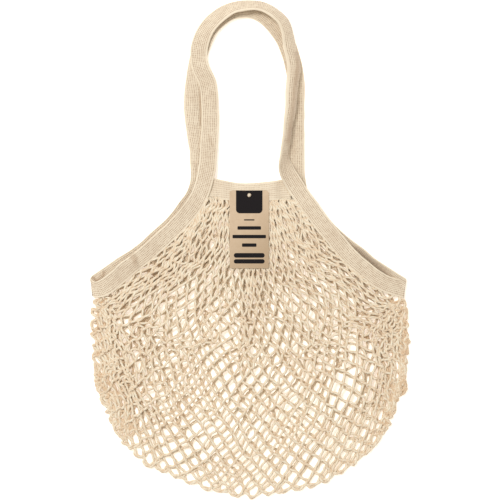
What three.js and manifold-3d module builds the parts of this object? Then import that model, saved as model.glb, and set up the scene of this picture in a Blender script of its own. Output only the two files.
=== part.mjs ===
// A cotton net shopping bag with two long tape handles, empty, lying on its back.
//
// Units are millimetres. +X runs across the bag, +Y from the fold at its bottom up to
// the handles, and +Z up, away from the surface that it lies on. The origin is the
// middle of the underside of the bag's box.
//
// The net is one sack: a front and a back sheet of diamond cells that share their rim.
// One tape, a closed ribbon ring, edges the mouth and forms both handles. A short band
// closes the mouth's edge between the feet of each handle, and a card tag hangs on the
// front band.

import * as THREE from 'three';
import { ParametricGeometry } from 'three/addons/geometries/ParametricGeometry.js';
import { mergeVertices } from 'three/addons/utils/BufferGeometryUtils.js';
import Module from 'manifold-3d';

const gap = 0.3; // between pieces that touch

// Net
const stringWidth = 3.0;
const netThickness = 2.0;
const columns = 16; // diamond cells across each sheet
const rowHeight = 25; // half the height of a diamond cell
const scallop = 2.5; // how far the rim's loops stand out between its joints
const netToTape = 0.6;

// How far the front sheet stands off the back one
const rimLift = 1.0; // the sheets fuse where this is under the net's thickness
const bellyLift = 8.6;
const bellyHalfWidth = 205;
const bellyDepth = 264; // from the mouth's corners down to the fold
const bellyTop = -51; // the height of the mouth's corners, along Y
const bellyRoundness = 2.4; // 2 is an ellipse, more is squarer
const slopeShare = 0.38; // the share of the half width that slopes

// Tape
const tapeWidth = 22;
const tapeThickness = 2.4;
const tapeEdge = 1.0; // the run-out of its thin edges
const tapeSteps = 132; // around the ring
const foldRadius = 1.8; // of the tape's middle line at the mouth's corners
const stackLift = tapeThickness + 2 * gap; // tape that lies on other tape

// Bands between the feet of each handle
const bandThickness = 2.2;
const bandBottom = 62.2;
const bandSteps = 22;

// Tag
const tagWidth = 49.6;
const tagHeight = 98.6;
const tagThickness = 0.9;
const tagCorner = 4;
const tagCentre = [-1.0, 25.5];
const tagHoleRadius = 2.7;
const tagHoleDrop = 5.9; // from the tag's top edge to the hole's centre
const knotRadius = 2.2;
const knotCentre = 1.0; // above the band that it is tied to

const cottonColour = 0xeadcc3;
const tapeColour = 0xefe2ca;
const cardColour = 0xc9ab85;

// The tape's middle line, as [x, y, lift of its lowest edge, lean in degrees]. It leans
// when its outer edge is lower than the edge beside the handle's hole. A lift of null
// follows the front sheet.
const frontTape = [
    // left shoulder, up from the mouth's left corner
    [-190, -48.5, null, 0],
    [-155, -26, null, 0],
    [-113, 11, null, 0],
    [-76, 49, null, 0],
    // left side of the handle
    [-58.5, 83, 8.4, 0],
    [-51.5, 129, 5.4, 0],
    [-51, 180, stackLift, 0],
    [-59.5, 230, stackLift, 0],
    [-62, 260, stackLift, 0],
    // over the top, where the tape tips onto its outer edge
    [-47, 291, stackLift, 15],
    [-19, 307.5, stackLift, 52],
    [15, 308, stackLift, 64],
    [42, 289, stackLift, 62],
    // right side of the handle, on edge
    [54.5, 253, stackLift, 57],
    [53.5, 209, stackLift, 60],
    [46, 152, stackLift, 64],
    [43, 117, 4.0, 54],
    [47, 99, 6.4, 24],
    [56, 82, 8.4, 0],
    // right shoulder, down to the mouth's right corner
    [86.5, 41, null, 0],
    [127, -6, null, 0],
    [170, -40, null, 0],
    [188, -49, null, 0],
];
const backTape = [
    // right shoulder, up from the mouth's right corner
    [188, -49, 0, 0],
    [150, -16.5, 0, 0],
    [109, 18.5, 0, 0],
    [71, 63.5, 0, 0],
    // right side of the handle
    [60, 98, 0, 0],
    [59, 158, 0, 0],
    [57, 221, 0, 0],
    // over the top
    [41, 275, 0, 0],
    [9, 301, 0, 0],
    [-23, 301, 0, 0],
    [-50, 277, 0, 0],
    // left side of the handle
    [-67, 233, 0, 0],
    [-72.5, 180, 0, 0],
    [-66, 120, 0, 0],
    // left shoulder, down to the mouth's left corner
    [-66, 80.5, 0, 0],
    [-94, 37.5, 0, 0],
    [-138, -4, 0, 0],
    [-168, -27, 0, 0],
    [-190, -48.5, 0, 0],
];
const rightFold = [199.5, -49];
const leftFold = [-202, -48.5];
const shoulderStations = 5; // from a corner up to a handle's foot

// The net's rim, from the mouth's left corner round the bottom to its right corner
const rimPoints = [
    [-200, -63],
    [-203, -98],
    [-199, -141],
    [-187, -186],
    [-166, -232],
    [-132, -269],
    [-78, -294],
    [-35, -307],
    [3, -312],
    [62, -302],
    [108, -287],
    [157, -245],
    [187, -186],
    [200, -128],
    [201, -90],
    [197.5, -63],
];

const wasm = await Module();
wasm.setup();

const degrees = Math.PI / 180;
const { clamp, lerp, smoothstep } = THREE.MathUtils;

// ---- heights -----------------------------------------------------------------------

// 0 at the net's rim and at the mouth's corners, 1 over the belly
function swell(x, y) {
    const across = Math.abs(x) / bellyHalfWidth;
    const down = Math.max(bellyTop - y, 0) / bellyDepth;
    const reach = (across ** bellyRoundness + down ** bellyRoundness) ** (1 / bellyRoundness);
    return Math.sin(clamp((1 - reach) / slopeShare, 0, 1) * Math.PI / 2);
}

function frontNetLift(x, y) {
    return lerp(rimLift, bellyLift, swell(x, y));
}

function frontTapeLift(x, y) {
    return lerp(2 * foldRadius, bellyLift - gap, swell(x, y));
}

// ---- tape --------------------------------------------------------------------------

function tapeStation([x, y, lift, lean], index, stretch, side) {
    const before = stretch[Math.max(index - 1, 0)];
    const after = stretch[Math.min(index + 1, stretch.length - 1)];
    const outward = new THREE.Vector3(before[1] - after[1], after[0] - before[0], 0)
        .normalize()
        .multiplyScalar(side * Math.cos(lean * degrees));
    outward.z = -Math.sin(lean * degrees);
    const edgeDrop = Math.sin(lean * degrees) * tapeWidth / 2;
    const faceDrop = Math.cos(lean * degrees) * tapeThickness / 2;
    const height = (lift ?? frontTapeLift(x, y)) + edgeDrop + faceDrop;
    return { middle: new THREE.Vector3(x, y, height), outward };
}

function foldStation([x, y]) {
    const middle = new THREE.Vector3(x, y, tapeThickness / 2 + foldRadius);
    return { middle, outward: new THREE.Vector3(0, 1, 0) };
}

const stations = [
    foldStation(leftFold),
    ...frontTape.map((station, index) => tapeStation(station, index, frontTape, 1)),
    foldStation(rightFold),
    ...backTape.map((station, index) => tapeStation(station, index, backTape, -1)),
];
const middles = stations.map((station) => station.middle);
const outwards = stations.map((station) => station.outward);
const middleLine = new THREE.CatmullRomCurve3(middles, true, 'centripetal');
const outwardLine = new THREE.CatmullRomCurve3(outwards, true, 'catmullrom');

// The tape's cross-section directions at a place along the ring
function tapeFrame(along) {
    const middle = middleLine.getPoint(along);
    middle.z = Math.max(middle.z, tapeThickness / 2);
    const tangent = middleLine.getTangent(along);
    const outward = outwardLine.getPoint(along);
    outward.addScaledVector(tangent, -outward.dot(tangent)).normalize();
    const face = new THREE.Vector3().crossVectors(tangent, outward).normalize();
    return { middle, outward, face };
}

function makeTape() {
    const halfWidth = tapeWidth / 2;
    const halfThickness = tapeThickness / 2;
    const section = [
        [halfWidth, 0],
        [halfWidth - tapeEdge, halfThickness],
        [tapeEdge - halfWidth, halfThickness],
        [-halfWidth, 0],
        [tapeEdge - halfWidth, -halfThickness],
        [halfWidth - tapeEdge, -halfThickness],
    ];
    const surface = (around, along, target) => {
        const { middle, outward, face } = tapeFrame(along % 1);
        const [across, up] = section[Math.round(around * section.length) % section.length];
        target.copy(middle).addScaledVector(outward, across).addScaledVector(face, up);
        target.z = Math.max(target.z, 0);
    };
    return new ParametricGeometry(surface, section.length, tapeSteps);
}

// Points along the tape's inner edge, where the net meets it, between two stations
function innerEdge(firstStation, lastStation) {
    const points = [];
    const samples = 40;
    for (let index = 0; index <= samples; index++) {
        const station = lerp(firstStation, lastStation, index / samples);
        const { middle, outward } = tapeFrame(station / stations.length);
        const flat = new THREE.Vector2(outward.x, outward.y).normalize();
        const point = new THREE.Vector2(middle.x, middle.y);
        points.push(point.addScaledVector(flat, -tapeWidth / 2 - netToTape));
    }
    return points;
}

// ---- net ---------------------------------------------------------------------------

// Points at equal steps along a line through the given ones
function evenSteps(points, count) {
    const lengths = [0];
    for (let index = 1; index < points.length; index++) {
        lengths.push(lengths[index - 1] + points[index].distanceTo(points[index - 1]));
    }
    const steps = [];
    for (let index = 0; index <= count; index++) {
        const target = lengths.at(-1) * index / count;
        const end = Math.max(lengths.findIndex((length) => length >= target - 1e-6), 1);
        const share = (target - lengths[end - 1]) / (lengths[end] - lengths[end - 1]);
        steps.push(points[end - 1].clone().lerp(points[end], share));
    }
    return steps;
}

// The part of a polygon where inside(point) is not negative
function clipPolygon(polygon, inside) {
    const kept = [];
    polygon.forEach((point, index) => {
        const next = polygon[(index + 1) % polygon.length];
        const here = inside(point);
        const there = inside(next);
        if (here >= 0) kept.push(point);
        if (here * there < 0) kept.push(point.clone().lerp(next, here / (here - there)));
    });
    return kept;
}

// A convex polygon with each side moved in by a margin. Where that leaves a side too
// short, the shortest side is closed up first, and a triangle that is too small gives null.
function insetPolygon(polygon, margin) {
    const count = polygon.length;
    const sides = polygon.map((point, index) => polygon[(index + 1) % count].clone().sub(point));
    const normals = sides.map((side) => new THREE.Vector2(-side.y, side.x).normalize());
    const moved = polygon.map((point, index) => {
        const before = normals[(index + count - 1) % count];
        const after = normals[index];
        return point.clone().addScaledVector(before.clone().add(after), margin / (1 + before.dot(after)));
    });
    const fits = moved.every((point, index) => {
        const clear = normals.every((normal, side) => {
            return point.clone().sub(polygon[side]).dot(normal) > 0.9 * margin;
        });
        return clear && point.distanceTo(moved[(index + 1) % count]) > margin;
    });
    if (fits) return moved;
    if (count === 3) return null;
    const lengths = sides.map((side) => side.length());
    const shortest = lengths.indexOf(Math.min(...lengths));
    const next = (shortest + 1) % count;
    const closed = [...polygon];
    closed[shortest] = polygon[shortest].clone().lerp(polygon[next], 0.5);
    return insetPolygon(closed.filter((point, index) => index !== next), margin);
}

// The corners of a diamond cell in the lattice, cut off at the rim and at the mouth's edge
function latticeCell(column, row, rows) {
    const diamond = [
        new THREE.Vector2(column - 1, row),
        new THREE.Vector2(column, row + 1),
        new THREE.Vector2(column + 1, row),
        new THREE.Vector2(column, row - 1),
    ];
    const left = rows[column - 1];
    const right = rows[column + 1];
    const aboveRim = clipPolygon(diamond, (point) => point.y);
    return clipPolygon(aboveRim, (point) => {
        return lerp(left, right, (point.x - column + 1) / 2) - point.y;
    });
}

// One sheet of the net as an outline with holes. Its strings run from joint to joint of a
// diamond lattice that fans out from the mouth's edge to the rim.
function netOutline(mouthEdge, shift) {
    const halfColumns = 2 * columns;
    const top = evenSteps(mouthEdge, halfColumns);
    const rimCurve = new THREE.SplineCurve(rimPoints.map(([x, y]) => new THREE.Vector2(x, y)));
    const rim = evenSteps(rimCurve.getPoints(160), halfColumns);
    const rows = top.map((point, column) => (point.distanceTo(rim[column]) - stringWidth) / rowHeight);
    const place = (point) => {
        const column = Math.min(Math.floor(point.x), halfColumns - 1);
        const share = point.x - column;
        const onColumn = (index) => {
            const climb = point.y * rowHeight / top[index].distanceTo(rim[index]);
            return rim[index].clone().lerp(top[index], climb);
        };
        return onColumn(column).lerp(onColumn(column + 1), share);
    };

    const outward = rim.map((point, column) => point.clone().sub(top[column]).normalize());
    const loops = rim.map((point, column) => {
        const reach = stringWidth + ((column + shift) % 2 ? scallop : 0);
        return point.clone().addScaledVector(outward[column], reach);
    });
    const shape = new THREE.Shape([...top, ...loops.reverse()]);
    for (let column = 1; column < halfColumns; column++) {
        for (let row = (column + shift + 1) % 2; row < Math.max(...rows) + 1; row += 2) {
            const cell = latticeCell(column, row, rows);
            const hole = cell.length > 2 ? insetPolygon(cell.map(place).reverse(), stringWidth / 2) : null;
            if (hole) shape.holes.push(new THREE.Path(hole));
        }
    }
    return shape;
}

function toManifold(geometry) {
    const bare = geometry.clone();
    bare.deleteAttribute('normal');
    bare.deleteAttribute('uv');
    const merged = mergeVertices(bare, 1e-4);
    const vertProperties = new Float32Array(merged.attributes.position.array);
    const triVerts = new Uint32Array(merged.index.array);
    return new wasm.Manifold(new wasm.Mesh({ numProp: 3, vertProperties, triVerts }));
}

function fromManifold(solid) {
    const mesh = solid.getMesh();
    const geometry = new THREE.BufferGeometry();
    geometry.setAttribute('position', new THREE.BufferAttribute(mesh.vertProperties, 3));
    geometry.setIndex(new THREE.BufferAttribute(mesh.triVerts, 1));
    geometry.computeVertexNormals();
    return geometry;
}

function netSheet(mouthEdge, shift, lift) {
    const outline = netOutline(mouthEdge, shift);
    const geometry = new THREE.ExtrudeGeometry(outline, { depth: netThickness, bevelEnabled: false });
    const position = geometry.attributes.position;
    for (let index = 0; index < position.count; index++) {
        const rise = lift(position.getX(index), position.getY(index));
        position.setZ(index, position.getZ(index) + rise);
    }
    return toManifold(geometry);
}

// The mouth's edge: up one shoulder, straight across under the band, down the other
function mouthEdge(left, right) {
    const belowBand = (point) => point.y < bandBottom - netToTape;
    return [...left.filter(belowBand), ...right.filter(belowBand)];
}

function makeNet() {
    const rightCorner = frontTape.length;
    const backStart = rightCorner + 2;
    const leftCorner = stations.length - 1;
    const front = mouthEdge(
        innerEdge(1, shoulderStations),
        innerEdge(rightCorner + 1 - shoulderStations, rightCorner),
    );
    const back = mouthEdge(
        innerEdge(leftCorner, leftCorner + 1 - shoulderStations),
        innerEdge(backStart - 1 + shoulderStations, backStart),
    );
    const frontSheet = netSheet(front, 0, frontNetLift);
    const backSheet = netSheet(back, 1, () => 0);
    return fromManifold(frontSheet.add(backSheet));
}

// ---- bands -------------------------------------------------------------------------

// A strip whose ends tuck under the handle's feet at one height, while its middle lies at
// another, and whose upper edge sags
function makeBand(band) {
    const { left, right, topLeft, topMiddle, topRight, endHeight, middleHeight, endFlat } = band;
    const length = right - left;
    const strip = new THREE.BoxGeometry(length, 1, bandThickness, bandSteps, 1, 1);
    const upperEdge = new THREE.QuadraticBezierCurve(
        new THREE.Vector2(left, topLeft),
        new THREE.Vector2((left + right) / 2, 2 * topMiddle - (topLeft + topRight) / 2),
        new THREE.Vector2(right, topRight),
    );
    const position = strip.attributes.position;
    for (let index = 0; index < position.count; index++) {
        const share = position.getX(index) / length + 0.5;
        const x = left + share * length;
        const y = position.getY(index) > 0 ? upperEdge.getPoint(share).y : bandBottom;
        const middle = Math.min(
            smoothstep(x, left + endFlat, left + 2 * endFlat),
            smoothstep(-x, endFlat - right, 2 * endFlat - right),
        );
        const height = lerp(endHeight, middleHeight, middle);
        position.setXYZ(index, x, y, position.getZ(index) + bandThickness / 2 + height);
    }
    return strip;
}

function makeFrontBand() {
    return makeBand({
        left: -56,
        right: 52,
        topLeft: 89,
        topMiddle: 83.5,
        topRight: 89,
        endHeight: bellyLift - 3 * gap - bandThickness,
        middleHeight: bellyLift,
        endFlat: 11,
    });
}

function makeBackBand() {
    return makeBand({
        left: -60,
        right: 58,
        topLeft: 91,
        topMiddle: 84.5,
        topRight: 92,
        endHeight: tapeThickness + gap,
        middleHeight: 0,
        endFlat: 12,
    });
}

// ---- tag ---------------------------------------------------------------------------

function makeTag() {
    const [centreX, centreY] = tagCentre;
    const halfWidth = tagWidth / 2;
    const halfHeight = tagHeight / 2;
    const turn = Math.PI / 2;
    const card = new THREE.Shape();
    card.moveTo(halfWidth - tagCorner, halfHeight);
    card.absarc(tagCorner - halfWidth, halfHeight - tagCorner, tagCorner, turn, 2 * turn);
    card.absarc(tagCorner - halfWidth, tagCorner - halfHeight, tagCorner, 2 * turn, 3 * turn);
    card.absarc(halfWidth - tagCorner, tagCorner - halfHeight, tagCorner, 3 * turn, 4 * turn);
    card.absarc(halfWidth - tagCorner, halfHeight - tagCorner, tagCorner, 0, turn);
    const hole = new THREE.Path();
    hole.absarc(0, halfHeight - tagHoleDrop, tagHoleRadius, 0, 2 * Math.PI, true);
    card.holes.push(hole);
    const options = { depth: tagThickness, bevelEnabled: false, curveSegments: 6 };
    const geometry = new THREE.ExtrudeGeometry(card, options);
    return geometry.translate(centreX, centreY, tagFloor());
}

function tagFloor() {
    return bellyLift + bandThickness + gap;
}

// The knot of the string that holds the tag, a flattened ball in the tag's hole
function makeKnot() {
    const [centreX, centreY] = tagCentre;
    const footAngle = -Math.asin(knotCentre / knotRadius);
    const profile = new THREE.Path();
    profile.moveTo(0, 0);
    profile.lineTo(knotRadius * Math.cos(footAngle), 0);
    profile.absarc(0, knotCentre, knotRadius, footAngle, Math.PI / 2, false);
    const geometry = new THREE.LatheGeometry(profile.getPoints(6), 12);
    geometry.rotateX(Math.PI / 2);
    return geometry.translate(centreX, centreY + tagHeight / 2 - tagHoleDrop, tagFloor());
}

// ---- the bag -----------------------------------------------------------------------

const cotton = new THREE.MeshStandardMaterial({ color: cottonColour, roughness: 0.9, metalness: 0 });
const tapeCotton = new THREE.MeshStandardMaterial({ color: tapeColour, roughness: 0.9, metalness: 0 });
const card = new THREE.MeshStandardMaterial({ color: cardColour, roughness: 0.85, metalness: 0 });

const bag = new THREE.Group();

function addPiece(name, geometry, material) {
    const mesh = new THREE.Mesh(geometry, material.clone());
    mesh.name = name;
    bag.add(mesh);
}

addPiece('net', makeNet(), cotton);
addPiece('tape', makeTape(), tapeCotton);
addPiece('front_band', makeFrontBand(), tapeCotton);
addPiece('back_band', makeBackBand(), tapeCotton);
addPiece('tag', makeTag(), card);
addPiece('tag_knot', makeKnot(), cotton);

const box = new THREE.Box3().setFromObject(bag);
bag.position.set(-(box.min.x + box.max.x) / 2, -(box.min.y + box.max.y) / 2, -box.min.z);

export default bag;
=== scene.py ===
"""A cotton net shopping bag, empty, lying on its back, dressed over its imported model.

Sizes in the code are millimetres, as in the part's source, and turn into metres in the
meshes. +X runs across the bag, +Y from the fold at its bottom up to the handles, +Z up.
"""

import math

import bmesh
import bpy
import numpy as np
from bpy.props import FloatProperty, FloatVectorProperty, IntProperty, PointerProperty
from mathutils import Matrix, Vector


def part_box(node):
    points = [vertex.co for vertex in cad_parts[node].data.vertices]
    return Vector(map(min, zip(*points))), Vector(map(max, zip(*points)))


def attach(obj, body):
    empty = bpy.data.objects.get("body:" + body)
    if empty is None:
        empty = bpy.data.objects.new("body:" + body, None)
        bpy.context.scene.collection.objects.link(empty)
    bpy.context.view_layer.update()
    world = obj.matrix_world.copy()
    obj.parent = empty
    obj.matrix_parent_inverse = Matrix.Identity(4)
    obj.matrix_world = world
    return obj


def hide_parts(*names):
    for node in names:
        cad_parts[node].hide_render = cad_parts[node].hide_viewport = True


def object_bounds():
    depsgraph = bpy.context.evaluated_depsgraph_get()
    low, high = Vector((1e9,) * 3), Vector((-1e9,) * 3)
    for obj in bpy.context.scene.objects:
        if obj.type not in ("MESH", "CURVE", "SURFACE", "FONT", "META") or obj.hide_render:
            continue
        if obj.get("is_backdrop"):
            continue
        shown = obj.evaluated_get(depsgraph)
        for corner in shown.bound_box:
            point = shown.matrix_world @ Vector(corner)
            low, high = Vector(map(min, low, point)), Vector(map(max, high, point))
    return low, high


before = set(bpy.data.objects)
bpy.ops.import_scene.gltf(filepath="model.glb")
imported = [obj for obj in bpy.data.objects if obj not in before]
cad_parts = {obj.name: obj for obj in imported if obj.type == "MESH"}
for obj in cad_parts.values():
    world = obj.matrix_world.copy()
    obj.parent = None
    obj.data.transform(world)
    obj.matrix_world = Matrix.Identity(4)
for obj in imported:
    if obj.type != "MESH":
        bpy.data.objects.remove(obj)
cad_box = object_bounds()

bl_info = {
    "name": "Cotton net bag",
    "version": (1, 0, 0),
    "blender": (4, 5, 0),
    "location": "3D View > Sidebar > Net bag",
    "description": "Strings, knitted tape and card tag of a cotton net shopping bag",
    "category": "Add Mesh",
}

MM = 0.001

# ---- the route of the tape and the net's rim -----------------------------------------

# The tape's middle line, as (x, y, lift of its lowest edge, lean in degrees, arch). Its
# route is nearly that of the part's source. The arches, and the leans of the shoulders and
# of the back, are added here. The tape leans when its outer edge is lower than the edge
# beside the handle's hole, and the other way below 0. The arch is how far its middle
# bulges out of its face, which is turned up. A lift of None follows the front net.
FRONT_TAPE = [
    # left shoulder, up from the mouth's left corner
    (-190, -50.3, 7.2, 0, 0),
    (-153.5, -22.5, None, -12, 0),
    (-113, 11, None, -10, 0),
    (-76, 49, None, -8, 0),
    # left side of the handle
    (-58.5, 83, 8.4, 0, 0),
    (-52, 129, 5.4, 0, 0.6),
    (-51, 184, 3.0, 0, 0.8),
    (-54.5, 212, 3.0, 0, 0.6),
    (-63, 233, 3.0, 6, 0),
    (-64, 256, 3.0, 10, 0.5),
    # over the top, where the tape tips onto its outer edge
    (-50.5, 286, 3.0, 24, 1),
    (-22, 305.5, 2.5, 46, 1.5),
    (13, 308, 2.0, 57, 2),
    (41, 290, 2.5, 51, 3),
    # right side of the handle, leaning over and hollow behind
    (50.6, 255, 3.0, 45, 4.2),
    (55.2, 230, 3.0, 40, 5.4),
    (52.4, 200, 3.0, 50, 5.6),
    (50.2, 176, 3.0, 55, 5.2),
    (47.6, 155, 3.0, 60, 4.2),
    (45.2, 137, 3.5, 64, 2.8),
    (43.2, 118, 4.0, 60, 1.5),
    (46.5, 99, 6.4, 24, 0),
    (56, 82, 8.4, 0, 0),
    # right shoulder, down to the mouth's right corner
    (85.5, 41, None, -8, 0),
    (125.5, -7.5, None, -11, 0),
    (168.5, -41.5, None, -8, 0),
    (188, -49, 5.0, 0, 0),
]
# The same for the back, where the tape's face is turned down: an arch below 0 raises it.
BACK_TAPE = [
    # right shoulder, up from the mouth's right corner
    (181.5, -38.5, 0, -28, 0),
    (151, -14.5, 0, -54, 2.5),
    (107, 17, 0, -16, 0),
    (66.5, 62, 0, 0, 0),
    # right side of the handle
    (58.8, 98, 0, 0, 0),
    (57.8, 158, 0, 0, 0),
    (57, 221, 0, 0, 0),
    # over the top
    (40, 273.5, 0, 0, 0),
    (9, 302, 0, 8, 0),
    (-25.5, 301.5, 0, 12, 0),
    (-51.5, 279, 0, 12, 0),
    # left side of the handle
    (-67, 236, 0, 4, -1.6),
    (-72.5, 180, 0, 0, -3.4),
    (-66, 120, 0, 0, -1.8),
    # left shoulder, down to the mouth's left corner
    (-66, 80.5, 0, 0, 0),
    (-94, 37.5, 0, 0, 0),
    (-138, -4, 0, 0, 0),
    (-168, -23.5, 0, 0, 0),
    (-190, -39.5, 0, 0, 0),
]
RIGHT_FOLD = (197, -50)
LEFT_FOLD = (-200.5, -48.2)
FOLD_LEAN = 0.12  # how far the upper end of a fold leans outwards, for each unit up
FOLD_MIDDLE = 4.0  # height of the middle of a fold
FOLD_REACH = 1.04  # how much wider the tape's folded end is than the tape
SHOULDER_STATIONS = 5  # from a corner up to a handle's foot

# The net's rim, from the mouth's left corner round the bottom to its right corner, as in
# the part's source
RIM = [
    (-200, -63),
    (-203, -98),
    (-199, -141),
    (-187, -186),
    (-166, -232),
    (-132, -269),
    (-78, -294),
    (-35, -307),
    (3, -312),
    (62, -302),
    (108, -287),
    (157, -245),
    (187, -186),
    (200, -128),
    (201, -90),
    (197.5, -63),
]
RIM_REACH = 1.6  # from that line out to the strings that are folded round it

# How far the front of the net stands off the floor
RIM_LIFT = 1.0
BELLY_LIFT = 8.6
BELLY_HALF_WIDTH = 205
BELLY_DEPTH = 264
BELLY_TOP = -51
BELLY_ROUNDNESS = 2.4
SLOPE_SHARE = 0.38

FOLD_RADIUS = 1.8  # of the tape's middle line at the mouth's corners
TAPE_WIDTH = 22
HALF_TAPE = TAPE_WIDTH / 2
TAPE_MIDDLE = 1.2  # height of the middle of tape that lies flat on the floor
BAND_MIDDLE = 1.1  # height of a band's middle above its underside
BAND_BOTTOM = 62.2
TAG_CENTRE = (-1.0, 25.5)
TAG_HALF = (24.8, 49.3)
TAG_HOLE_DROP = 5.9  # from the tag's top edge to the hole's centre
TAG_HOLE_RADIUS = 2.5
KNOT_RADIUS = 1.9

# The source centres the whole bag on the origin, which shifts it by this much
tag_low, tag_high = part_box("tag")
SHIFT = np.array([(tag_low.x + tag_high.x) / 2, (tag_low.y + tag_high.y) / 2, 0])
SHIFT -= np.array([TAG_CENTRE[0] * MM, TAG_CENTRE[1] * MM, 0])


def to_row(points):
    """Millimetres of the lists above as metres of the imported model."""
    return np.asarray(points, float) * MM + SHIFT


# ---- properties ----------------------------------------------------------------------


def colour(name, description, value):
    return FloatVectorProperty(
        name=name, description=description, default=value, subtype="COLOR", min=0, max=1
    )


def length(name, description, value):
    return FloatProperty(
        name=name, description=description, default=value, unit="LENGTH", min=0, precision=4
    )


class BagNet(bpy.types.PropertyGroup):
    string: length("String", "Thickness of a string", 0.0031)
    bar: length("Bar", "Length of string between two joints", 0.0154)
    columns: IntProperty(name="Columns", description="Diamond cells across the net", default=34)
    rows: IntProperty(name="Rows", description="Half cells from the rim up to the band", default=30)
    short_row: FloatProperty(
        name="Short row", description="What the first row lacks, in rows", default=0.75
    )
    samples: IntProperty(name="Samples", description="Segments along a bar", default=8)
    crumple: length("Crumple", "How far the cells are pushed out of line", 0.007)
    seed: IntProperty(name="Seed", description="Which crumpling is drawn", default=7)
    yarn: colour("Yarn", "Undyed cotton yarn", (0.84, 0.77, 0.62))
    # The darker yarn below tints random patches and is the painted shade between the plies and at
    # the joints.
    patch_and_shade: colour("Hollow", "Yarn between the plies and at the joints", (0.66, 0.45, 0.27))
    # The colour below is painted shade for strings that lie deep in the bunched net.
    deep: colour("Deep", "Yarn that lies deep in the bunched net", (0.62, 0.40, 0.22))


class BagTape(bpy.types.PropertyGroup):
    width: length("Width", "Width of the tape", 0.022)
    thickness: length("Thickness", "Thickness of the tape's face", 0.0019)
    bead: length("Edge", "Thickness of its rolled edges", 0.0022)
    rib: length("Rib", "From one knitted rib to the next", 0.0023)
    stitch: length("Stitch", "From one stitch to the next along a rib", 0.0021)
    cotton: colour("Cotton", "Undyed cotton of the tape", (0.81, 0.72, 0.57))
    # The darker cotton below tints random patches and streaks, and is the painted shade in the
    # grooves, pinholes and creases.
    patch_and_shade: colour("Hollow", "Cotton between the stitches", (0.46, 0.33, 0.22))


class BagTag(bpy.types.PropertyGroup):
    width: length("Width", "Width of the card", 0.0496)
    height: length("Height", "Height of the card", 0.0986)
    thickness: length("Thickness", "Thickness of the card", 0.0007)
    card: colour("Card", "Brown kraft card", (0.61, 0.475, 0.335))
    print_colour: colour("Print", "Plain dark print", (0.006, 0.004, 0.005))


class BagStage(bpy.types.PropertyGroup):
    view_height: length("Camera height", "Camera above the floor", 4.0)
    view_width: length("View width", "Width of floor in the picture", 0.635)
    key_power: FloatProperty(
        name="Key", description="Power of the main light", default=58, unit="POWER"
    )
    sky: FloatProperty(name="Sky", description="Strength of the even light", default=0.745)
    floor: colour("Floor", "Plain pale floor", (0.9, 0.9, 0.9))
    glow: FloatProperty(
        name="Glow", description="Light that the pale floor gives of itself", default=0.46
    )


GROUPS = {"bag_net": BagNet, "bag_tape": BagTape, "bag_tag": BagTag, "bag_stage": BagStage}


# ---- lines and heights ---------------------------------------------------------------


def hermite(start, end, start_pull, end_pull, share):
    """Points on a cubic between two points, with its pulls at both ends."""
    square = share * share
    cube = square * share
    return (
        (2 * cube - 3 * square + 1) * start
        + (cube - 2 * square + share) * start_pull
        + (3 * square - 2 * cube) * end
        + (cube - square) * end_pull
    )


def smooth_line(points, where, closed=True, centripetal=True):
    """Points on a smooth line through the given ones. where counts them, with fractions."""
    points = np.asarray(points, float)
    where = np.asarray(where, float)
    first = np.floor(where).astype(int)
    if closed:
        before, here, after, beyond = (
            points[(first + step) % len(points)] for step in (-1, 0, 1, 2)
        )
    else:
        first = np.clip(first, 0, len(points) - 2)
        ends = [2 * points[0] - points[1]], points, [2 * points[-1] - points[-2]]
        before, here, after, beyond = (np.vstack(ends)[first + step] for step in range(4))
    share = (where - first)[:, None]
    if not centripetal:
        return hermite(here, after, (after - before) / 2, (beyond - here) / 2, share)
    near, gap, far = (
        np.linalg.norm(end - start, axis=1, keepdims=True) ** 0.5
        for start, end in ((before, here), (here, after), (after, beyond))
    )
    start = (here - before) / near - (after - before) / (near + gap) + (after - here) / gap
    end = (after - here) / gap - (beyond - here) / (gap + far) + (beyond - after) / far
    return hermite(here, after, start * gap, end * gap, share)


def even_steps(points, count):
    """Points at equal steps along a line through the given ones, with both its ends."""
    steps = np.linalg.norm(np.diff(points, axis=0), axis=1)
    run = np.concatenate([[0], np.cumsum(steps)])
    wanted = np.linspace(0, run[-1], count + 1)
    return np.stack([np.interp(wanted, run, axis) for axis in points.T], axis=1)


def unit(vectors):
    return vectors / np.maximum(np.linalg.norm(vectors, axis=-1, keepdims=True), 1e-9)


def swell(x, y):
    """0 at the net's rim and at the mouth's corners, 1 over the belly."""
    across = np.abs(x) / BELLY_HALF_WIDTH
    down = np.maximum(BELLY_TOP - y, 0) / BELLY_DEPTH
    reach = (across**BELLY_ROUNDNESS + down**BELLY_ROUNDNESS) ** (1 / BELLY_ROUNDNESS)
    return np.sin(np.clip((1 - reach) / SLOPE_SHARE, 0, 1) * math.pi / 2)


def front_net_lift(x, y):
    """Height of the middle of the strings in the front of the net."""
    return RIM_LIFT + (BELLY_LIFT - RIM_LIFT) * swell(x, y) + 1.0


def back_net_lift(x, y):
    """The same for the back, which is drawn up where both are gathered under the band."""
    drawn_up = np.clip((y + 50) / 70, 0, 1) * np.clip((75 - y) / 25, 0, 1)
    return 2.3 + 3.0 * swell(x, y) * drawn_up


def front_tape_lift(x, y):
    return 2 * FOLD_RADIUS + (BELLY_LIFT - 0.3 - 2 * FOLD_RADIUS) * swell(x, y)


def past_line(points, line):
    """How far each point is from a line, and its side: 1 on the left, -1 on the right."""
    nearest = np.full(len(points), 1e9)
    side = np.zeros(len(points))
    for start, end in zip(line[:-1], line[1:]):
        along = end - start
        share = np.clip(((points - start) @ along) / (along @ along), 0, 1)[:, None]
        away = points - (start + share * along)
        distance = np.linalg.norm(away, axis=1)
        closer = distance < nearest
        nearest[closer] = distance[closer]
        side[closer] = np.sign(along[0] * away[:, 1] - along[1] * away[:, 0])[closer]
    return nearest, side


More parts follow.
